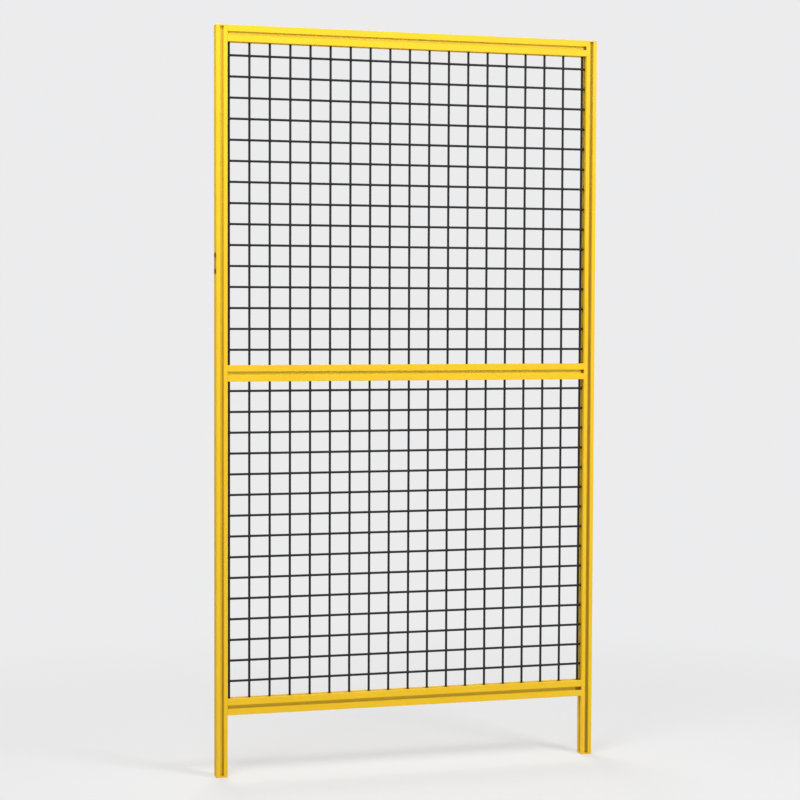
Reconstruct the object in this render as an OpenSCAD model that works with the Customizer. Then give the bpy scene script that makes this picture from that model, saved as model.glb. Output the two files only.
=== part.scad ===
// Machine guard fence panel: two grooved posts, three grooved rails and two welded wire meshes.
// Millimetres. X runs along the panel, Y runs from its front to its back, Z is up.
// The origin is the middle of the left post's foot.

/* [Frame] */
// Clear width between the two posts
bay_w = 927; // [400:1:1500]
// Clear height of the upper mesh opening, between the top and middle rails
upper_bay_h = 780; // [300:0.1:1200]
// Clear height of the lower mesh opening, between the middle and bottom rails
lower_bay_h = 776.4; // [300:0.1:1200]
// Clear height under the bottom rail
leg_h = 152.4; // [60:0.1:400]
// Depth of every post and rail, front to back
frame_d = 30; // [28:0.5:60]
// Width of a post, seen from the front
post_w = 28; // [26:0.5:60]
// Height of a rail, seen from the front
rail_h = 40; // [28:0.5:60]
// Radius on the long outer edges of posts and rails
edge_r = 1.2; // [0.5:0.1:2]

/* [Grooves] */
// Thickness of the lips beside a groove's mouth
lip_t = 2.6; // [2:0.1:3.5]
// How far each lip reaches over the chamber behind it
lip_reach = 3.2; // [2:0.1:3.5]
// Straight depth of the chamber behind the lips
chamber_t = 1.6; // [1:0.1:2]
// Depth of a groove, from the outer face to its floor
slot_depth = 7.4; // [6.5:0.1:8]
// Bore along the middle of every post and rail
core_bore_d = 6.8; // [5:0.1:8]

/* [Mesh] */
// Distance between neighbouring wires, centre to centre
wire_pitch = 50.8; // [25:0.1:80]
// Thickness of a mesh wire, across its flats
wire_d = 4.5; // [3:0.1:5]
// How deep crossing wires are melted into each other
weld_depth = 0.6; // [0.3:0.1:1]
// Gap between the mesh and each lip of the groove that holds it
mesh_clear = 0.4; // [0.2:0.1:1]
// Least distance from a post to the middle of the first upright wire
side_gap = 5; // [4:0.5:20]
// Least distance from a rail to the middle of the first level wire, before a mesh is raised
end_gap = 20; // [14:0.5:24]
// How far the upper mesh is raised above the middle of its opening
upper_mesh_rise = 2.8; // [0:0.1:10]
// How far the lower mesh is raised above the middle of its opening
lower_mesh_rise = 9.3; // [0:0.1:10]

/* [End caps] */
// Thickness of a cap's plate
cap_t = 3.2; // [2:0.1:6]
// Length of the stud that holds a cap in the post's bore
cap_stud_l = 14; // [8:0.5:25]
// Gap around that stud
stud_clear = 0.1; // [0.05:0.05:0.3]

/* [Hidden] */

// Heights of the rails' undersides, and of the whole panel
bottom_rail_z = leg_h;
lower_bay_z = bottom_rail_z + rail_h;
middle_rail_z = lower_bay_z + lower_bay_h;
upper_bay_z = middle_rail_z + rail_h;
top_rail_z = upper_bay_z + upper_bay_h;
panel_h = top_rail_z + rail_h;

// Places along the panel
bay_x = post_w / 2;
right_post_x = bay_w + post_w;

// The grooves' mouth takes both layers of a mesh
mesh_t = 2 * wire_d - weld_depth;
slot_w = mesh_t + 2 * mesh_clear;
chamber_w = slot_w + 2 * lip_reach;

// Sides of a mesh wire, and how far each layer lies from the mesh's middle plane
wire_sides = 8;
layer_y = (wire_d - weld_depth) / 2;

bore_fn = 48;
edge_fn = 24;
cut_over = 1;

frame_colour = [0.96, 0.80, 0.16];
cap_colour = [0.90, 0.74, 0.14];
mesh_colour = [0.05, 0.05, 0.05];

// Rectangle about the origin with rounded corners
module rounded_rect(w, h) {
    square([w - 2 * edge_r, h], center = true);
    square([w, h - 2 * edge_r], center = true);
    for (sx = [-1, 1], sy = [-1, 1])
        translate([sx * (w / 2 - edge_r), sy * (h / 2 - edge_r)])
            circle(r = edge_r, $fn = edge_fn);
}

// Outline of one groove, with its mouth on the X axis and its floor above it
module groove_2d() {
    chamber_end = lip_t + chamber_t;
    translate([-slot_w / 2, -cut_over]) square([slot_w, lip_t + 2 * cut_over]);
    polygon([
        [-chamber_w / 2, lip_t], [chamber_w / 2, lip_t],
        [chamber_w / 2, chamber_end], [slot_w / 2, slot_depth],
        [-slot_w / 2, slot_depth], [-chamber_w / 2, chamber_end]
    ]);
}

// Cross-section of a post or rail: w wide and h high, with a groove in the middle of each side
module section_2d(w, h) {
    difference() {
        rounded_rect(w, h);
        circle(d = core_bore_d, $fn = bore_fn);
        for (side = [0, 1]) {
            rotate(180 * side) translate([0, -h / 2]) groove_2d();
            rotate(90 + 180 * side) translate([0, -w / 2]) groove_2d();
        }
    }
}

// Post standing on its foot cap, with its middle at x
module post(x) {
    color(frame_colour)
        translate([x, 0, cap_t])
            linear_extrude(height = panel_h - 2 * cap_t)
                section_2d(post_w, frame_d);
}

// Rail from post to post, with its underside at z
module rail(z) {
    color(frame_colour)
        translate([bay_x, 0, z + rail_h / 2])
            rotate([90, 0, 90])
                linear_extrude(height = bay_w)
                    section_2d(frame_d, rail_h);
}

// Plain cap over a post's end. The stud points up, or down where the cap is on top.
module cap(x, z, stud_up) {
    stud_z = stud_up ? cap_t - cut_over : -cap_stud_l;
    color(cap_colour)
        translate([x, 0, z]) {
            linear_extrude(height = cap_t) rounded_rect(post_w, frame_d);
            translate([0, 0, stud_z])
                cylinder(d = core_bore_d - 2 * stud_clear, h = cap_stud_l + cut_over, $fn = bore_fn);
        }
}

// Straight wire along Z from the origin, wire_d across its flats
module wire(length) {
    half_side = 180 / wire_sides;
    rotate(half_side)
        cylinder(d = wire_d / cos(half_side), h = length, $fn = wire_sides);
}

// Places of as many wires as fit a span with at least gap left at each end, centred in it
function wire_places(span, gap) =
    let (steps = floor((span - 2 * gap) / wire_pitch), first = (span - steps * wire_pitch) / 2)
    [for (i = [0:steps]) first + i * wire_pitch];

// Welded mesh of an opening that is bay_h high, with its wires' ends on the floors of the grooves around
// it. The level wires are in front of the upright ones, and sit higher than their middle place by rise.
module mesh(z, bay_h, rise) {
    color(mesh_colour)
        translate([bay_x, 0, z])
            union() {
                for (x = wire_places(bay_w, side_gap))
                    translate([x, layer_y, -slot_depth]) wire(bay_h + 2 * slot_depth);
                for (level = wire_places(bay_h, end_gap))
                    translate([-slot_depth, -layer_y, level + rise])
                        rotate([90, 0, 90]) wire(bay_w + 2 * slot_depth);
            }
}

module left_post() post(0);
module right_post() post(right_post_x);

module top_rail() rail(top_rail_z);
module middle_rail() rail(middle_rail_z);
module bottom_rail() rail(bottom_rail_z);

module upper_mesh() mesh(upper_bay_z, upper_bay_h, upper_mesh_rise);
module lower_mesh() mesh(lower_bay_z, lower_bay_h, lower_mesh_rise);

module left_top_cap() cap(0, panel_h - cap_t, false);
module right_top_cap() cap(right_post_x, panel_h - cap_t, false);
module left_foot_cap() cap(0, 0, true);
module right_foot_cap() cap(right_post_x, 0, true);

left_post();
right_post();
top_rail();
middle_rail();
bottom_rail();
upper_mesh();
lower_mesh();
left_top_cap();
right_top_cap();
left_foot_cap();
right_foot_cap();
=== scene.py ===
"""Looks of a machine guard fence panel: a coated grooved frame, welded wire meshes and end caps.

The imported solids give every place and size. The posts and rails are rounded copies of their
solids, the meshes are round wires with a weld at each crossing, and the caps are moulded plates.
Units are metres.
"""

import logging
import math
import random
from dataclasses import dataclass, field
from enum import Enum
from typing import Any, Sequence

import bmesh
import bpy
from mathutils import Matrix, Vector

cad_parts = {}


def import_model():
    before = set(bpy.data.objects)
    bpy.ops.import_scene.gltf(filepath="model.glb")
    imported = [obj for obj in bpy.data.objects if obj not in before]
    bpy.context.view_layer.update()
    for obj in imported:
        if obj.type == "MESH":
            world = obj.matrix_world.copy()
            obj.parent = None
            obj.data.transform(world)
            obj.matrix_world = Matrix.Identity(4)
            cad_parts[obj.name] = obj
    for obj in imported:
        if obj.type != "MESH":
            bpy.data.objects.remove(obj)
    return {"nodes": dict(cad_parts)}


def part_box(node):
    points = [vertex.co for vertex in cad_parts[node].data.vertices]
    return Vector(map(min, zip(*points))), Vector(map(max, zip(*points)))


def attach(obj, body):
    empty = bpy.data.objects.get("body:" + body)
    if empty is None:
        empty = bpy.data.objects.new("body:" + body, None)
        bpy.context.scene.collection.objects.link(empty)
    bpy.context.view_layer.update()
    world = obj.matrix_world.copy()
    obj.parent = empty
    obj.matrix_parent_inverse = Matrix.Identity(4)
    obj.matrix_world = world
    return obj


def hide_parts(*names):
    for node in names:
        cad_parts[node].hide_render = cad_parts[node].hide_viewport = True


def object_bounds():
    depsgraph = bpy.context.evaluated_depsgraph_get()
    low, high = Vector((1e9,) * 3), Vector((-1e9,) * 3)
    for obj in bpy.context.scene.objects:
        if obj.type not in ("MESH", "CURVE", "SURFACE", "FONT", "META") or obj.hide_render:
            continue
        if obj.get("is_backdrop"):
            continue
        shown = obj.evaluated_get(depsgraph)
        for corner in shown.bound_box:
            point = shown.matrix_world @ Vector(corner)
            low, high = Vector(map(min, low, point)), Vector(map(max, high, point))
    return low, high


MM = 0.001
BODY = "root"
SMOOTH_ANGLE = math.radians(32)
SENSOR_WIDTH = 36.0

Colour = tuple[float, float, float]
log = logging.getLogger("fence_panel")


class Slot(Enum):
    """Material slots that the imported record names."""

    POWDER = "yellow_powder_coat"
    WIRE = "black_coated_wire"
    PLASTIC = "yellow_plastic"


class Run(Enum):
    """Direction in which a bar of the frame runs."""

    UPRIGHT = "upright"
    LEVEL = "level"


class Layer(Enum):
    """Layer of a mesh's wires: the level ones lie in front of the upright ones."""

    LEVEL = -1
    UPRIGHT = 1


# ---------------------------------------------------------------- shader expressions


class Sock:
    """A shader socket that takes part in Python expressions, each of which adds a Math node."""

    def __init__(self, graph: "Graph", socket: bpy.types.NodeSocket) -> None:
        """Wraps a socket.

        Args:
            graph: the node tree that the socket belongs to.
            socket: the output socket.
        """
        self.graph = graph
        self.socket = socket

    def math(self, operation: str, *others: "Sock | float") -> "Sock":
        """Adds a Math node.

        Args:
            operation: the Math node's operation.
            others: the values after this one.

        Returns:
            The node's result.
        """
        values = dict(enumerate((self, *others)))
        return self.graph.node("ShaderNodeMath", {"operation": operation}, values)[0]

    def __add__(self, other: "Sock | float") -> "Sock":
        """Sum."""
        return self.math("ADD", other)

    def __radd__(self, other: float) -> "Sock":
        """Sum, with the number first."""
        return self.math("ADD", other)

    def __sub__(self, other: "Sock | float") -> "Sock":
        """Difference."""
        return self.math("SUBTRACT", other)

    def __rsub__(self, other: float) -> "Sock":
        """Difference, with the number first."""
        return self.math("MULTIPLY", -1.0).math("ADD", other)

    def __mul__(self, other: "Sock | float") -> "Sock":
        """Product."""
        return self.math("MULTIPLY", other)

    def __rmul__(self, other: float) -> "Sock":
        """Product, with the number first."""
        return self.math("MULTIPLY", other)

    def __abs__(self) -> "Sock":
        """Size without its sign."""
        return self.math("ABSOLUTE")

    def least(self, other: "Sock | float") -> "Sock":
        """The smaller of two values."""
        return self.math("MINIMUM", other)

    def most(self, other: "Sock | float") -> "Sock":
        """The larger of two values."""
        return self.math("MAXIMUM", other)

    def rise(self, start: float, end: float) -> "Sock":
        """Smooth step.

        Args:
            start: value at which the result is 0.
            end: value at which the result is 1. It may be below start.

        Returns:
            A value from 0 to 1.
        """
        settings = {"interpolation_type": "SMOOTHSTEP", "clamp": True}
        flip = end < start
        values = {"Value": self, "From Min": min(start, end), "From Max": max(start, end)}
        step = self.graph.node("ShaderNodeMapRange", settings, values)["Result"]
        return 1.0 - step if flip else step


class Outputs:
    """The output sockets of one node, by name or number."""

    def __init__(self, graph: "Graph", node: bpy.types.Node) -> None:
        """Wraps a node.

        Args:
            graph: the node tree that the node belongs to.
            node: the node.
        """
        self.graph = graph
        self.made = node

    def __getitem__(self, key: str | int) -> Sock:
        """One output socket."""
        return Sock(self.graph, self.made.outputs[key])


class Graph:
    """A node tree with one method that makes its nodes."""

    def __init__(self, tree: bpy.types.NodeTree) -> None:
        """Empties a node tree.

        Args:
            tree: the tree of a material or of the world.
        """
        self.tree = tree
        tree.nodes.clear()

    def node(
        self,
        kind: str,
        settings: dict[str, Any] | None = None,
        values: dict[str | int, Any] | None = None,
    ) -> Outputs:
        """Makes one node.

        Args:
            kind: the node's type.
            settings: the node's own settings, which are set first.
            values: numbers, colours or Socks for its input sockets.

        Returns:
            The node's outputs.
        """
        made = self.tree.nodes.new(kind)
        for name, value in (settings or {}).items():
            setattr(made, name, value)
        for key, value in (values or {}).items():
            if isinstance(value, Sock):
                self.tree.links.new(value.socket, made.inputs[key])
            else:
                made.inputs[key].default_value = value
        return Outputs(self, made)

    def place(self, centre: Sequence[float], scale: Sequence[float] = (1, 1, 1)) -> Sock:
        """Object coordinates about a centre.

        Args:
            centre: the point that becomes the pattern's origin.
            scale: stretch of the pattern along each axis.

        Returns:
            The coordinates.
        """
        coordinates = self.node("ShaderNodeTexCoord")["Object"]
        location = [-c * s for c, s in zip(centre, scale)]
        values = {"Vector": coordinates, "Location": location, "Scale": list(scale)}
        return self.node("ShaderNodeMapping", {"vector_type": "POINT"}, values)["Vector"]

    def noise(self, at: Sock, scale: float, detail: float) -> Sock:
        """Smooth noise.

        Args:
            at: the coordinates that it follows.
            scale: features per metre.
            detail: number of finer layers.

        Returns:
            A value about 0.5.
        """
        values = {"Vector": at, "Scale": scale, "Detail": detail}
        return self.node("ShaderNodeTexNoise", {"noise_dimensions": "3D"}, values)["Fac"]

    def blend(self, factor: Sock, low: Sock | Colour, high: Sock | Colour) -> Sock:
        """Mixes two colours.

        Args:
            factor: 0 gives low and 1 gives high.
            low: the first colour.
            high: the second colour.

        Returns:
            The mixed colour.
        """
        mix = {"data_type": "RGBA", "blend_type": "MIX", "clamp_factor": True}
        colours = [c if isinstance(c, Sock) else (*c, 1.0) for c in (low, high)]
        return self.node("ShaderNodeMix", mix, {0: factor, 6: colours[0], 7: colours[1]})[2]

    def bump(self, height: Sock, distance: float) -> Sock:
        """Bumped surface normal.

        Args:
            height: a value from 0 to 1.
            distance: how high a value of 1 stands.

        Returns:
            The normal.
        """
        values = {"Strength": 1.0, "Distance": distance, "Height": height}
        return self.node("ShaderNodeBump", {}, values)["Normal"]

    def seen(self) -> Sock:
        """1 for the rays by which the camera sees a thing, straight on or in a reflection."""
        path = self.node("ShaderNodeLightPath")
        return path["Is Camera Ray"].most(path["Is Glossy Ray"]).most(path["Is Transmission Ray"])

    def surface(self, values: dict[str | int, Any]) -> None:
        """Ends a material's tree with a Principled shader.

        Args:
            values: what its sockets get.
        """
        shader = self.node("ShaderNodeBsdfPrincipled", {}, values)["BSDF"]
        self.node("ShaderNodeOutputMaterial", {}, {"Surface": shader})


def new_material(name: str) -> tuple[bpy.types.Material, Graph]:
    """Makes an empty material.

    Args:
        name: the material's name.

    Returns:
        The material and its node tree.
    """
    material = bpy.data.materials.new(name)
    material.use_nodes = True
    return material, Graph(material.node_tree)


# ---------------------------------------------------------------- finishes


@dataclass(frozen=True)
class BarSpace:
    """Where a bar lies, for patterns that follow its edges and grooves.

    Attributes:
        centre: middle of the bar.
        half_long: half its length.
        half_across: half its width, as seen from the front.
        half_deep: half its depth, front to back.
        run: direction in which it runs.
    """

    centre: Vector
    half_long: float
    half_across: float
    half_deep: float
    run: Run


class BarFields:
    """Sockets that tell where a point of a bar lies, which the patterns on it share.

    Attributes:
        here: place on the panel.
        floor_z: height above the floor.
        x: place along the panel, from the bar's middle.
        y: place front to back, from the bar's middle.
        across: place over the bar's width, from its middle.
        from_face: distance from the nearer of the front and back faces.
        to_end: distance from the bar's right or upper end.
        groove: 1 inside the grooves and 0 on the outer faces.
        edge: 1 on the bar's four long outer edges.
    """

    GROOVE_START = 0.6 * MM
    GROOVE_FULL = 5.5 * MM
    EDGE_START = 1.5 * MM
    EDGE_FULL = 0.2 * MM

    def __init__(self, g: Graph, space: BarSpace) -> None:
        """Works out the sockets.

        Args:
            g: the node tree of the bar's material.
            space: where the bar lies.
        """
        level = space.run is Run.LEVEL
        self.here = g.place((0, 0, 0))
        local = g.node("ShaderNodeSeparateXYZ", {}, {"Vector": g.place(space.centre)})
        self.floor_z = g.node("ShaderNodeSeparateXYZ", {}, {"Vector": self.here})["Z"]
        self.x = local["X"]
        self.y = local["Y"]
        self.across = local["Z" if level else "X"]
        from_side = space.half_across - abs(self.across)
        self.from_face = space.half_deep - abs(self.y)
        self.to_end = space.half_long - local["X" if level else "Z"]
        inside = from_side.least(self.from_face)
        self.groove = inside.rise(self.GROOVE_START, self.GROOVE_FULL)
        self.edge = (from_side + self.from_face).rise(self.EDGE_START, self.EDGE_FULL)


@dataclass(frozen=True)
class ClampMark:
    """Two dark spots with a rubbed strip between them, on the outer side of a post.

    Attributes:
        low: height of the lower spot.
        high: height of the upper spot.
        spot: how far a spot reaches up and down.
        core: how far its darkest part reaches.
        overlap: how far the strip reaches over a spot before it is full.
        flatness: how much wider a spot is than high, squared.
        strip: strength of the rubbing between the spots, from 0 to 1.
        side_start: place across the post at which the mark starts, left of its middle.
        side_full: place from which it is full.
        face_fade: distance from the post's faces over which it fades.
        grain_scale: features per metre of the noise that breaks up its edges.
        colour: colour of the rubbed coat.
        roughness: what the rubbing adds to the coat's roughness.
    """

    low: float
    high: float
    spot: float = 10 * MM
    core: float = 4 * MM
    overlap: float = 6 * MM
    flatness: float = 3.2
    strip: float = 0.4
    side_start: float = -6 * MM
    side_full: float = -8 * MM
    face_fade: float = 1.2 * MM
    grain_scale: float = 160.0
    colour: Colour = (0.055, 0.028, 0.010)
    roughness: float = 0.25

    def cover(self, g: Graph, at: BarFields) -> Sock:
        """How much of the coat the mark hides.

        Args:
            g: the node tree of the post's material.
            at: where a point of the post lies.

        Returns:
            A value from 0 to 1.
        """
        grain = g.noise(at.here, self.grain_scale, 2.0)
        z = at.floor_z
        above_low = z.rise(self.low, self.low + self.overlap)
        strength = above_low * z.rise(self.high, self.high - self.overlap) * self.strip
        for height in (self.low, self.high):
            rise = z - height
            away = (at.y * at.y * (1 / self.flatness) + rise * rise).math("SQRT")
            ragged = away * (0.4 + 1.2 * grain)  # the grain breaks up the spot's edge
            strength = strength.most(ragged.rise(self.spot, self.core))
        outer = at.x.rise(self.side_start, self.side_full) * at.from_face.rise(0.0, self.face_fade)
        return strength * outer * (0.6 + 0.8 * grain).least(1.0)


@dataclass(frozen=True)
class GrooveShade:
    """Painted shade in a line along the grooves of one bar, and painted shadow at their ends.

    Attributes:
        amount: how thick the line is, from 0 to 1.
        middle: how far the line lies to the right of the bar's middle, or above it on a rail.
        reach: how far it spreads to each side.
        core: share of its reach over which the line is full.
        at_end: strength of the painted shadow in the grooves at the bar's right or upper end, from
            0 to 1.
        end_length: length of that shadowed end.
        end_core: share of that length over which it is full.
        colour: the coat where the painted shade line is full.
    """

    amount: float = 0.0
    middle: float = 0.0
    reach: float = 7 * MM
    core: float = 0.4
    at_end: float = 0.0
    end_length: float = 8 * MM
    end_core: float = 0.6
    colour: Colour = (0.60, 0.33, 0.018)

    def line(self, at: BarFields, shade_strength: Sock) -> Sock:
        """The line of painted shade along the grooves.

        Args:
            at: where a point of the bar lies.
            shade_strength: how strong the painted shade is at a place.

        Returns:
            A value from 0 to about 1.
        """
        width = abs(at.across - self.middle).rise(self.reach, self.core * self.reach)
        return width * self.amount * shade_strength

    def end(self, at: BarFields) -> Sock:
        """The painted shadow at the grooves' end, from 0 to 1."""
        return at.to_end.rise(self.end_length, self.end_core * self.end_length) * self.at_end


@dataclass(frozen=True)
class PowderCoat:
    """Fine-textured yellow powder coat, thinner on edges, with painted light, painted shade and
    painted shadow in the grooves.

    Attributes:
        colour: the clean coat.
        faded: the coat where it is a little paler.
        thin: the coat over sharp edges.
        groove_painted_light: the coat deep in a groove away from the painted shade line, painted
            paler as painted light that lifts the groove's shade.
        end_shadow: the painted shadow at a groove's end.
        metal: bare aluminium in a chip.
        dirt_and_shade: colour of the scuffs near the feet.
        scuff_height: height above the floor at which the scuffs end.
        shade_growth_height: height above the floor below which the painted shade in a groove gets
            stronger downwards.
        mottle_scale: features per metre of the slow change in shade.
        streak_scale: features per metre of the streaks, over a bar's width.
        streak_stretch: factor on that scale along a bar, which draws the streaks out.
        speck_scale: features per metre of the fine specks.
        chip_scale: features per metre of the chips on the edges.
        peel_scale: features per metre of the coat's waves.
        grain_scale: features per metre of its fine grain.
        relief: height of the waves and grain.
        edge_wear: strength of the thin coat's colour on the edges, from 0 to 1.
        scuffing: strength of the scuffs, from 0 to 1.
        roughness: roughness of the clean coat.
        specular: strength of its mirror-like part.
        bare: how metallic a chip is.
    """

    colour: Colour = (0.90, 0.55, 0.015)
    faded: Colour = (0.91, 0.58, 0.020)
    thin: Colour = (0.91, 0.65, 0.050)
    groove_painted_light: Colour = (0.91, 0.74, 0.060)
    end_shadow: Colour = (0.24, 0.13, 0.008)
    metal: Colour = (0.42, 0.41, 0.39)
    dirt_and_shade: Colour = (0.20, 0.15, 0.07)
    scuff_height: float = 0.16
    shade_growth_height: float = 2.0
    mottle_scale: float = 9.0
    streak_scale: float = 260.0
    streak_stretch: float = 0.06
    speck_scale: float = 700.0
    chip_scale: float = 95.0
    peel_scale: float = 330.0
    grain_scale: float = 1500.0
    relief: float = 0.09 * MM
    edge_wear: float = 0.7
    scuffing: float = 0.55
    roughness: float = 0.50
    specular: float = 0.2
    bare: float = 0.8

    def streaks(self, g: Graph, run: Run) -> Sock:
        """Noise that is drawn out along a bar.

        Args:
            g: the node tree of the bar's material.
            run: direction in which the bar runs.

        Returns:
            A value about 0.5.
        """
        scale = (self.streak_stretch, 1, 1) if run is Run.LEVEL else (1, 1, self.streak_stretch)
        return g.noise(g.place((0, 0, 0), scale), self.streak_scale, 2.0)

    def material(
        self, name: str, space: BarSpace, dirt_and_shade: GrooveShade, mark: ClampMark | None
    ) -> bpy.types.Material:
        """Makes the coat for one bar.

        Args:
            name: the material's name.
            space: where the bar lies.
            dirt_and_shade: the painted shade in the bar's grooves and at their ends.
            mark: a mark on the bar's outer side, if it has one.

        Returns:
            The material.
        """
        material, g = new_material(name)
        at = BarFields(g, space)
        mottle = g.noise(at.here, self.mottle_scale, 3.0)
        speck = g.noise(at.here, self.speck_scale, 1.0)

        coat = g.blend(mottle.rise(0.3, 0.75), self.colour, self.faded)
        coat = g.blend(at.edge * mottle.rise(0.35, 0.65) * self.edge_wear, coat, self.thin)
        # Painted shade in the grooves: a mottled line, stronger lower down, that stands for the
        # shadows of the groove lips.
        shade_strength = 0.5 + 0.6 * mottle + 0.3 * at.floor_z.rise(self.shade_growth_height, 0.0)
        line = dirt_and_shade.line(at, shade_strength)
        # Inside the grooves the coat is painted paler as painted light, with the painted shade
        # line and the painted shadow at the groove's end over it.
        deep = g.blend(dirt_and_shade.end(at), g.blend(line, self.groove_painted_light, dirt_and_shade.colour), self.end_shadow)
        coat = g.blend(at.groove, coat, deep)

        low = at.floor_z.rise(self.scuff_height, 0.0)
        streak = self.streaks(g, space.run)
        scuff = low * streak.rise(0.52, 0.72) * speck.rise(0.35, 0.6) * self.scuffing
        coat = g.blend(scuff, coat, self.dirt_and_shade)
        chip = at.edge * g.noise(at.here, self.chip_scale, 2.0).rise(0.74, 0.77)
        coat = g.blend(chip, coat, self.metal)

        rough = self.roughness + 0.12 * speck + 0.16 * line * at.groove + 0.2 * scuff
        if mark is not None:
            rubbed = mark.cover(g, at)
            coat = g.blend(rubbed, coat, mark.colour)
            rough = rough + mark.roughness * rubbed

        peel = g.noise(at.here, self.peel_scale, 2.0)
        grain = g.noise(at.here, self.grain_scale, 1.0)
        height = (0.7 * peel + 0.3 * grain) * (1.0 - 0.8 * chip)
        g.surface(
            {
                "Base Color": coat,
                "Metallic": chip * self.bare,
                "Roughness": rough,
                "Specular IOR Level": self.specular,
                "Normal": g.bump(height, self.relief),
            }
        )
        return material


@dataclass(frozen=True)
class WireCoat:
    """Satin black coat on steel wire, a little dusty on top.

    Attributes:
        colour: the coat.
        dust: dust that lies on it.
        patch_scale: features per metre of the dusty patches.
        peel_scale: features per metre of the coat's waves.
        grain_scale: features per metre of its fine grain.
        relief: height of the waves and grain.
        roughness: roughness of the clean coat.
        specular: strength of its mirror-like part.
    """

    colour: Colour = (0.009, 0.0095, 0.0105)
    dust: Colour = (0.040, 0.038, 0.036)
    patch_scale: float = 14.0
    peel_scale: float = 420.0
    grain_scale: float = 1300.0
    relief: float = 0.07 * MM
    roughness: float = 0.40
    specular: float = 0.25

    def material(self, name: str) -> bpy.types.Material:
        """Makes the coat.

        Args:
            name: the material's name.

        Returns:
            The material.
        """
        material, g = new_material(name)
        here = g.place((0, 0, 0))
        facing = g.node("ShaderNodeNewGeometry")["Normal"]
        up = g.node("ShaderNodeSeparateXYZ", {}, {"Vector": facing})["Z"].rise(0.2, 1.0)
        patches = g.noise(here, self.patch_scale, 3.0)
        dusty = up * patches.rise(0.35, 0.7) * 0.6 + patches.rise(0.6, 0.85) * 0.12
        peel = g.noise(here, self.peel_scale, 2.0)
        grain = g.noise(here, self.grain_scale, 1.0)
        g.surface(
            {
                "Base Color": g.blend(dusty, self.colour, self.dust),
                "Roughness": self.roughness + 0.14 * grain + 0.22 * dusty,
                "Specular IOR Level": self.specular,
                "Normal": g.bump(0.6 * peel + 0.4 * grain, self.relief),
            }
        )
        return material


@dataclass(frozen=True)
class MouldedPlastic:
    """Yellow moulded plastic with a fine matt grain.

    Attributes:
        colour: the plastic.
        rubbed: the plastic where handling has polished it.
        patch_scale: features per metre of the polished patches.
        grain_scale: features per metre of the grain.
        relief: height of the grain.
        roughness: roughness of the matt plastic.
        specular: strength of its mirror-like part.
    """

    colour: Colour = (0.86, 0.53, 0.015)
    rubbed: Colour = (0.88, 0.58, 0.038)
    patch_scale: float = 40.0
    grain_scale: float = 1800.0
    relief: float = 0.05 * MM
    roughness: float = 0.60
    specular: float = 0.5

    def material(self, name: str) -> bpy.types.Material:
        """Makes the plastic.

        Args:
            name: the material's name.

        Returns:
            The material.
        """
        material, g = new_material(name)
        here = g.place((0, 0, 0))
        patches = g.noise(here, self.patch_scale, 3.0)
        grain = g.noise(here, self.grain_scale, 2.0)
        g.surface(
            {
                "Base Color": g.blend(patches.rise(0.35, 0.8), self.colour, self.rubbed),
                "Roughness": self.roughness - 0.16 * patches.rise(0.5, 0.8) + 0.08 * grain,
                "Specular IOR Level": self.specular,
                "Normal": g.bump(grain, self.relief),
            }
        )
        return material


@dataclass(frozen=True)
class PaleFloor:
    """Plain pale studio floor that meets the backdrop without a line.

    Attributes:
        colour: the floor near the panel.
        backdrop: what shows beyond it.
        veil: how much of the backdrop shows in the floor under the panel, from 0 to 1.
        fade_start: distance from the panel at which the floor starts to fade.
        fade_end: distance at which only the backdrop shows.
        smudge_scale: features per metre of its slow change in shine.
        roughness: its least roughness.
    """

    colour: Colour = (0.86, 0.86, 0.86)
    backdrop: Colour = (0.84, 0.84, 0.85)
    veil: float = 0.4
    fade_start: float = 0.6
    fade_end: float = 2.4
    smudge_scale: float = 1.3
    roughness: float = 0.75

    def material(self, name: str, centre: Vector) -> bpy.types.Material:
        """Makes the floor.

        Args:
            name: the material's name.
            centre: the point that the fading is measured from.

        Returns:
            The material.
        """
        material, g = new_material(name)
        at = g.place(centre)
        distance = g.node("ShaderNodeVectorMath", {"operation": "LENGTH"}, {0: at})["Value"]
        rough = self.roughness + 0.1 * g.noise(at, self.smudge_scale, 3.0)
        values = {"Base Color": (*self.colour, 1.0), "Roughness": rough}
        lit = g.node("ShaderNodeBsdfPrincipled", {}, values)["BSDF"]
        shown = {"Color": (*self.backdrop, 1.0), "Strength": 1.0}
        glow = g.node("ShaderNodeEmission", {}, shown)["Emission"]
        far = distance.rise(self.fade_start, self.fade_end)
        fade = (self.veil + (1.0 - self.veil) * far) * g.seen()
        mixed = g.node("ShaderNodeMixShader", {}, {0: fade, 1: lit, 2: glow})["Shader"]
        g.node("ShaderNodeOutputMaterial", {}, {"Surface": mixed})
        return material


# ---------------------------------------------------------------- pieces of the panel


def finish_piece(
    name: str,
    shape: bmesh.types.BMesh,
    material: bpy.types.Material,
    nodes: Sequence[str],
) -> bpy.types.Object:
    """Makes an object of a finished shape, which rides on the panel and stands for its solids.

    Args:
        name: the piece's name.
        shape: the shape, in place. It is freed.
        material: the piece's finish.
        nodes: the solids that the piece stands for.

    Returns:
        The piece.
    """
    mesh = bpy.data.meshes.new(name)
    shape.to_mesh(mesh)
    shape.free()
    mesh.polygons.foreach_set("use_smooth", [True] * len(mesh.polygons))
    mesh.set_sharp_from_angle(angle=SMOOTH_ANGLE)
    mesh.materials.append(material)
    piece = bpy.data.objects.new(name, mesh)
    bpy.context.scene.collection.objects.link(piece)
    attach(piece, BODY)
    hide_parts(*nodes)
    return piece


def round_edges(
    shape: bmesh.types.BMesh, edges: Sequence[bmesh.types.BMEdge], width: float, steps: int
) -> None:
    """Rounds some edges of a shape.

    Args:
        shape: the shape.
        edges: the edges that are rounded.
        width: width of the rounding.
        steps: number of its segments.
    """
    bmesh.ops.bevel(
        shape,
        geom=list(edges),
        offset=width,
        offset_type="OFFSET",
        segments=steps,
        profile=0.5,
        affect="EDGES",
        clamp_overlap=True,
        material=-1,
    )


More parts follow.
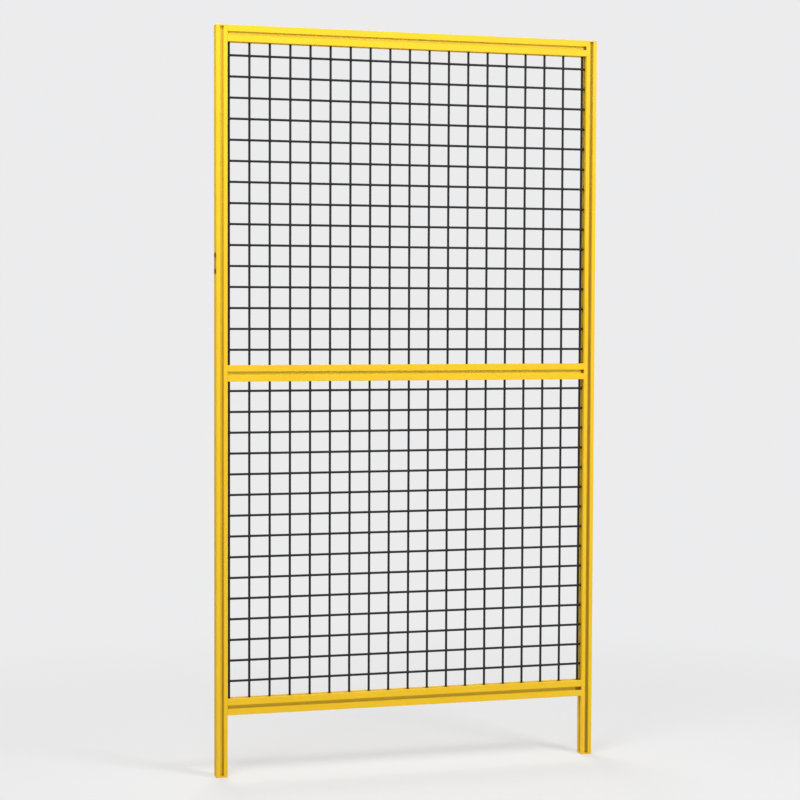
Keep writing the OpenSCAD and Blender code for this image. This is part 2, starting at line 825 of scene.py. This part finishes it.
@dataclass
class GroovedBar:
    """One grooved profile of the frame: a copy of its solid with rounded groove lips.

    Attributes:
        node: the solid that the bar stands for.
        run: direction in which it runs.
        coat: its finish.
        dirt_and_shade: the painted shade in its grooves and at their ends.
        mark: a mark on its outer side, if it has one.
        lip_round: width of the rounding along the groove lips.
        lip_steps: number of segments of that rounding.
        sharp_angle: angle between faces from which an edge is rounded.
        flat_angle: angle between faces below which they are one.
        merge: distance within which the solid's corners are one.
        straight: least share of an edge's direction that follows the bar, for a long edge.
    """

    node: str
    run: Run
    coat: PowderCoat
    dirt_and_shade: GrooveShade
    mark: ClampMark | None = None
    lip_round: float = 0.35 * MM
    lip_steps: int = 2
    sharp_angle: float = math.radians(28)
    flat_angle: float = math.radians(0.5)
    merge: float = 0.002 * MM
    straight: float = 0.999

    def space(self) -> BarSpace:
        """Works out where the bar lies, from its solid's box.

        Returns:
            The bar's place and half sizes.
        """
        low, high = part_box(self.node)
        half = (high - low) / 2
        across, along = (half.z, half.x) if self.run is Run.LEVEL else (half.x, half.z)
        return BarSpace((low + high) / 2, along, across, half.y, self.run)

    def is_long_sharp(self, edge: bmesh.types.BMEdge) -> bool:
        """Tells whether an edge runs along the bar and is sharp.

        Args:
            edge: an edge of the merged solid.

        Returns:
            True for a lip's or groove's edge.
        """
        if len(edge.link_faces) != 2 or edge.calc_face_angle() < self.sharp_angle:
            return False
        way = (edge.verts[1].co - edge.verts[0].co).normalized()
        return abs(way.x if self.run is Run.LEVEL else way.z) > self.straight

    def build(self, solid: bpy.types.Object) -> bpy.types.Object:
        """Builds and dresses the bar.

        Args:
            solid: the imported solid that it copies.

        Returns:
            The piece.
        """
        shape = bmesh.new()
        shape.from_mesh(solid.data)
        bmesh.ops.remove_doubles(shape, verts=shape.verts, dist=self.merge)
        bmesh.ops.dissolve_limit(
            shape, angle_limit=self.flat_angle, verts=shape.verts, edges=shape.edges
        )
        sharp = [edge for edge in shape.edges if self.is_long_sharp(edge)]
        round_edges(shape, sharp, self.lip_round, self.lip_steps)
        material = self.coat.material(f"{self.node}_coat", self.space(), self.dirt_and_shade, self.mark)
        piece = finish_piece(f"{self.node}_bar", shape, material, [self.node])
        even = piece.modifiers.new("even_shading", "WEIGHTED_NORMAL")
        even.keep_sharp = True
        return piece


@dataclass
class WeldedMesh:
    """Square mesh of round wires, with a weld at each crossing.

    Attributes:
        node: the solid that the mesh stands for.
        raised: how far the level wires sit above the middle of the mesh's own height.
        pitch: distance between neighbouring wires.
        columns: number of upright wires.
        rows: number of level wires.
        wire_d: thickness of a wire over its coat.
        weld_depth: how deep crossing wires are melted into each other.
        play: how far a wire may lie off its place.
        sides: sides of a wire's mesh.
        weld_spread: reach of a weld along the wires, in wire radii.
        weld_swell: thickness of a weld across the wires, in wire radii.
        weld_play: how much larger or smaller a weld may be, as a share.
        weld_detail: subdivisions of a weld's ball.
        seed: start of the random places.
    """

    node: str
    raised: float
    pitch: float = 50.8 * MM
    columns: int = 19
    rows: int = 15
    wire_d: float = 5.8 * MM
    weld_depth: float = 2.5 * MM
    play: float = 0.25 * MM
    sides: int = 14
    weld_spread: float = 1.62
    weld_swell: float = 0.9
    weld_play: float = 0.06
    weld_detail: int = 2
    seed: int = 7
    chance: random.Random = field(init=False)

    def __post_init__(self) -> None:
        """Starts the mesh's own row of random numbers."""
        self.chance = random.Random(f"{self.node}-{self.seed}")

    def places(self, middle: float, count: int) -> list[float]:
        """Places of a layer's wires, each a little off its true place.

        Args:
            middle: middle of the row of wires.
            count: number of wires.

        Returns:
            The places.
        """
        first = middle - self.pitch * (count - 1) / 2
        return [
            first + i * self.pitch + self.chance.uniform(-self.play, self.play)
            for i in range(count)
        ]

    def layer_y(self, layer: Layer) -> float:
        """How far a layer's wires lie behind the mesh's middle plane."""
        return layer.value * (self.wire_d - self.weld_depth) / 2

    def add_wire(
        self, shape: bmesh.types.BMesh, middle: Vector, length: float, layer: Layer
    ) -> None:
        """Adds one straight wire.

        Args:
            shape: the mesh that it joins.
            middle: the wire's middle.
            length: the wire's length.
            layer: the layer, which says how the wire runs.
        """
        turn = Matrix.Rotation(math.radians(90), 4, "Y") if layer is Layer.LEVEL else Matrix()
        bmesh.ops.create_cone(
            shape,
            cap_ends=True,
            segments=self.sides,
            radius1=self.wire_d / 2,
            radius2=self.wire_d / 2,
            depth=length,
            matrix=Matrix.Translation(middle) @ turn,
        )

    def add_weld(self, shape: bmesh.types.BMesh, x: float, z: float) -> None:
        """Adds the coat-filled weld at one crossing.

        Args:
            shape: the mesh that it joins.
            x: place along the panel.
            z: height.
        """
        radius = self.wire_d / 2
        growth = self.chance.uniform(1 - self.weld_play, 1 + self.weld_play)
        spread = radius * self.weld_spread * growth
        size = Matrix.Diagonal((spread, radius * self.weld_swell, spread, 1))
        bmesh.ops.create_icosphere(
            shape,
            subdivisions=self.weld_detail,
            radius=1.0,
            matrix=Matrix.Translation((x, 0, z)) @ size,
        )

    def build(self, material: bpy.types.Material) -> bpy.types.Object:
        """Builds and dresses the mesh.

        Args:
            material: the wires' finish.

        Returns:
            The piece.
        """
        low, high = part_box(self.node)
        middle, span = (low + high) / 2, high - low
        xs = self.places(middle.x, self.columns)
        zs = self.places(middle.z + self.raised, self.rows)
        shape = bmesh.new()
        for x in xs:
            at = Vector((x, self.layer_y(Layer.UPRIGHT), middle.z))
            self.add_wire(shape, at, span.z, Layer.UPRIGHT)
        for z in zs:
            at = Vector((middle.x, self.layer_y(Layer.LEVEL), z))
            self.add_wire(shape, at, span.x, Layer.LEVEL)
        for x in xs:
            for z in zs:
                self.add_weld(shape, x, z)
        return finish_piece(f"{self.node}_wires", shape, material, [self.node])


@dataclass
class EndCap:
    """Moulded plate that closes the end of a post.

    Attributes:
        node: the solid that the cap stands for.
        on_top: True where the plate is above its stud.
        plate: thickness of the plate, without its stud.
        corner: radius of its upright edges.
        corner_steps: number of segments of that rounding.
        rim: width of the rounding round its outer face.
        seam: width of the rounding where it meets the post.
        rim_steps: number of segments of those two roundings.
        near: difference in height within which a corner belongs to a face.
    """

    node: str
    on_top: bool
    plate: float = 3.2 * MM
    corner: float = 1.2 * MM
    corner_steps: int = 6
    rim: float = 0.7 * MM
    seam: float = 0.2 * MM
    rim_steps: int = 3
    near: float = 0.01 * MM

    def round_ring(self, shape: bmesh.types.BMesh, height: float, width: float) -> None:
        """Rounds the edges round one flat side of the plate.

        Args:
            shape: the plate.
            height: height of that side.
            width: width of the rounding.
        """
        ring = [
            edge for edge in shape.edges
            if all(abs(corner.co.z - height) < self.near for corner in edge.verts)
        ]
        round_edges(shape, ring, width, self.rim_steps)

    def build(self, material: bpy.types.Material) -> bpy.types.Object:
        """Builds and dresses the cap.

        Args:
            material: the cap's finish.

        Returns:
            The piece.
        """
        low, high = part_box(self.node)
        outer = high.z if self.on_top else low.z
        inner = outer + (-self.plate if self.on_top else self.plate)
        centre = Vector(((low.x + high.x) / 2, (low.y + high.y) / 2, (outer + inner) / 2))
        size = Matrix.Diagonal((high.x - low.x, high.y - low.y, self.plate, 1))
        shape = bmesh.new()
        bmesh.ops.create_cube(shape, size=1.0, matrix=Matrix.Translation(centre) @ size)
        upright = [
            edge for edge in shape.edges
            if abs(edge.verts[0].co.z - edge.verts[1].co.z) > self.plate / 2
        ]
        round_edges(shape, upright, self.corner, self.corner_steps)
        self.round_ring(shape, outer, self.rim)
        self.round_ring(shape, inner, self.seam)
        return finish_piece(f"{self.node}_plate", shape, material, [self.node])


@dataclass
class FencePanel:
    """The whole panel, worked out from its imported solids.

    Attributes:
        solids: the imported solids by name.
        coat: finish of the posts and rails.
        wire: finish of the meshes.
        plastic: finish of the caps.
        mark: mark on the left post.
    """

    solids: dict[str, bpy.types.Object]
    coat: PowderCoat = PowderCoat()
    wire: WireCoat = WireCoat()
    plastic: MouldedPlastic = MouldedPlastic()
    mark: ClampMark = ClampMark(low=1.236, high=1.275)

    def posts(self) -> list[GroovedBar]:
        """Lists the two posts.

        Returns:
            The left and the right one.
        """
        # Painted shade along the posts' grooves, off to the right on the left post.
        left_groove_shade = GrooveShade(amount=0.9, middle=3 * MM, reach=3.4 * MM)
        right_groove_shade = GrooveShade(amount=1.0, middle=0.5 * MM, colour=(0.54, 0.34, 0.030))
        return [
            GroovedBar("left_post", Run.UPRIGHT, self.coat, left_groove_shade, self.mark),
            GroovedBar("right_post", Run.UPRIGHT, self.coat, right_groove_shade),
        ]

    def rails(self) -> list[GroovedBar]:
        """Lists the three rails.

        Returns:
            The top, the middle and the bottom one.
        """
        # Painted shade along the top and bottom rails' grooves, and a painted shadow in each
        # groove at the rail's right end, where the post shades it.
        groove_shades = {
            "top_rail": GrooveShade(amount=0.65, middle=-3 * MM, reach=4 * MM, at_end=0.9),
            "middle_rail": GrooveShade(at_end=0.9),
            "bottom_rail": GrooveShade(
                amount=0.35, middle=-1 * MM, at_end=0.8, end_length=18 * MM
            ),
        }
        return [GroovedBar(node, Run.LEVEL, self.coat, dirt_and_shade) for node, dirt_and_shade in groove_shades.items()]

    def meshes(self) -> list[WeldedMesh]:
        """Lists the two meshes.

        Returns:
            The upper and the lower one.
        """
        return [
            WeldedMesh("upper_mesh", raised=2.8 * MM),
            WeldedMesh("lower_mesh", raised=9.3 * MM),
        ]

    def caps(self) -> list[EndCap]:
        """Lists the four caps.

        Returns:
            The left post's two and then the right post's, the top one first.
        """
        return [
            EndCap(f"{side}_{end}_cap", on_top=end == "top")
            for side in ("left", "right")
            for end in ("top", "foot")
        ]

    def build(self) -> list[bpy.types.Object]:
        """Builds every piece in order.

        Returns:
            The pieces.
        """
        pieces = [bar.build(self.solids[bar.node]) for bar in self.posts() + self.rails()]
        wire = self.wire.material("wire_coat")
        pieces += [mesh.build(wire) for mesh in self.meshes()]
        plastic = self.plastic.material("cap_plastic")
        pieces += [cap.build(plastic) for cap in self.caps()]
        return pieces


# ---------------------------------------------------------------- studio


@dataclass(frozen=True)
class Lamp:
    """One square soft light.

    Attributes:
        name: the lamp's name.
        heading: where it stands, in degrees from straight in front of the panel towards its right.
        height: how high it stands above the panel's middle, in degrees.
        distance: how far it is from the panel's middle.
        width: side of its square.
        power: its power in watts.
    """

    name: str
    heading: float
    height: float
    distance: float
    width: float
    power: float

    def build(self, target: Vector) -> None:
        """Makes the lamp.

        Args:
            target: the point that it is aimed at.
        """
        data = bpy.data.lights.new(self.name, "AREA")
        data.shape = "SQUARE"
        data.size = self.width
        data.energy = self.power
        turn, up = math.radians(self.heading), math.radians(self.height)
        level = math.cos(up)
        way = Vector((math.sin(turn) * level, -math.cos(turn) * level, math.sin(up)))
        lamp = bpy.data.objects.new(self.name, data)
        lamp.location = target + way * self.distance
        lamp.rotation_euler = way.to_track_quat("Z", "Y").to_euler()
        lamp.visible_camera = False
        bpy.context.scene.collection.objects.link(lamp)


@dataclass(frozen=True)
class Viewpoint:
    """The camera's place and aim.

    Attributes:
        place: where it stands.
        heading: degrees that it is turned to the right of the panel's front-to-back direction.
        tilt: degrees that it looks up.
        roll: degrees that it is turned about its own line of sight.
        lens: focal length in millimetres, on a sensor SENSOR_WIDTH wide.
        sight: how far it sees.
    """

    place: tuple[float, float, float] = (-0.9553, -4.7413, 1.1500)
    heading: float = 16.558
    tilt: float = -2.668
    roll: float = 0.215
    lens: float = 89.26
    sight: float = 200.0

    def build(self) -> None:
        """Makes the camera, which becomes the scene's."""
        data = bpy.data.cameras.new("camera")
        data.sensor_width = SENSOR_WIDTH
        data.lens = self.lens
        data.clip_end = self.sight
        camera = bpy.data.objects.new("camera", data)
        turn = Matrix.Rotation(math.radians(-self.heading), 4, "Z")
        lean = Matrix.Rotation(math.radians(90 + self.tilt), 4, "X")
        roll = Matrix.Rotation(math.radians(self.roll), 4, "Z")
        camera.matrix_world = Matrix.Translation(self.place) @ turn @ lean @ roll
        bpy.context.scene.collection.objects.link(camera)
        bpy.context.scene.camera = camera


@dataclass(frozen=True)
class Studio:
    """Plain pale floor and backdrop, soft light and the camera.

    Attributes:
        floor: the floor's finish.
        floor_width: side of the floor.
        floor_drop: gap under the panel's feet, so that the two faces don't coincide.
        ambient: level of the light from all round.
        lamps: the soft lights.
        view: the camera.
    """

    floor: PaleFloor = PaleFloor()
    floor_width: float = 80.0
    floor_drop: float = 0.3 * MM
    ambient: float = 0.41
    lamps: tuple[Lamp, ...] = (
        Lamp("key_light", heading=35, height=35, distance=3.2, width=0.9, power=45),
        Lamp("side_light", heading=-40, height=45, distance=2.4, width=1.1, power=26),
        Lamp("back_light", heading=180, height=40, distance=3.2, width=1.6, power=36),
    )
    view: Viewpoint = Viewpoint()

    def build_floor(self, middle: Vector) -> None:
        """Makes the floor.

        Args:
            middle: the panel's middle.
        """
        centre = Vector((middle.x, middle.y, -self.floor_drop))
        shape = bmesh.new()
        bmesh.ops.create_grid(
            shape,
            x_segments=1,
            y_segments=1,
            size=self.floor_width / 2,
            matrix=Matrix.Translation(centre),
        )
        mesh = bpy.data.meshes.new("floor")
        shape.to_mesh(mesh)
        shape.free()
        mesh.materials.append(self.floor.material("pale_floor", centre))
        floor = bpy.data.objects.new("floor", mesh)
        bpy.context.scene.collection.objects.link(floor)
        floor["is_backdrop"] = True

    def build_world(self) -> None:
        """Makes the light from all round, and the backdrop that the camera and reflections see."""
        world = bpy.data.worlds.new("studio")
        world.use_nodes = True
        bpy.context.scene.world = world
        g = Graph(world.node_tree)
        soft = {"Color": (1, 1, 1, 1), "Strength": self.ambient}
        backdrop = {"Color": (*self.floor.backdrop, 1), "Strength": 1.0}
        light = g.node("ShaderNodeBackground", {}, soft)["Background"]
        look = g.node("ShaderNodeBackground", {}, backdrop)["Background"]
        mixed = g.node("ShaderNodeMixShader", {}, {0: g.seen(), 1: light, 2: look})["Shader"]
        g.node("ShaderNodeOutputWorld", {}, {"Surface": mixed})

    def build(self, low: Vector, high: Vector) -> None:
        """Builds the studio round the panel.

        Args:
            low: lowest corner of the panel's box.
            high: highest corner of the panel's box.
        """
        middle = (low + high) / 2
        self.build_floor(middle)
        self.build_world()
        for lamp in self.lamps:
            lamp.build(middle)
        self.view.build()
        bpy.context.scene.view_settings.view_transform = "Standard"


def main() -> None:
    """Loads the frame and builds the panel and the studio round it."""
    logging.basicConfig(level=logging.INFO, format="%(name)s: %(message)s")
    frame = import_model()
    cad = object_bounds()
    for piece in FencePanel(frame["nodes"]).build():
        log.info("%s: %d faces", piece.name, len(piece.data.polygons))
    studio = Studio()
    studio.build(*cad)
    log.info("studio: %d lamps", len(studio.lamps))


if __name__ == "__main__":
    main()
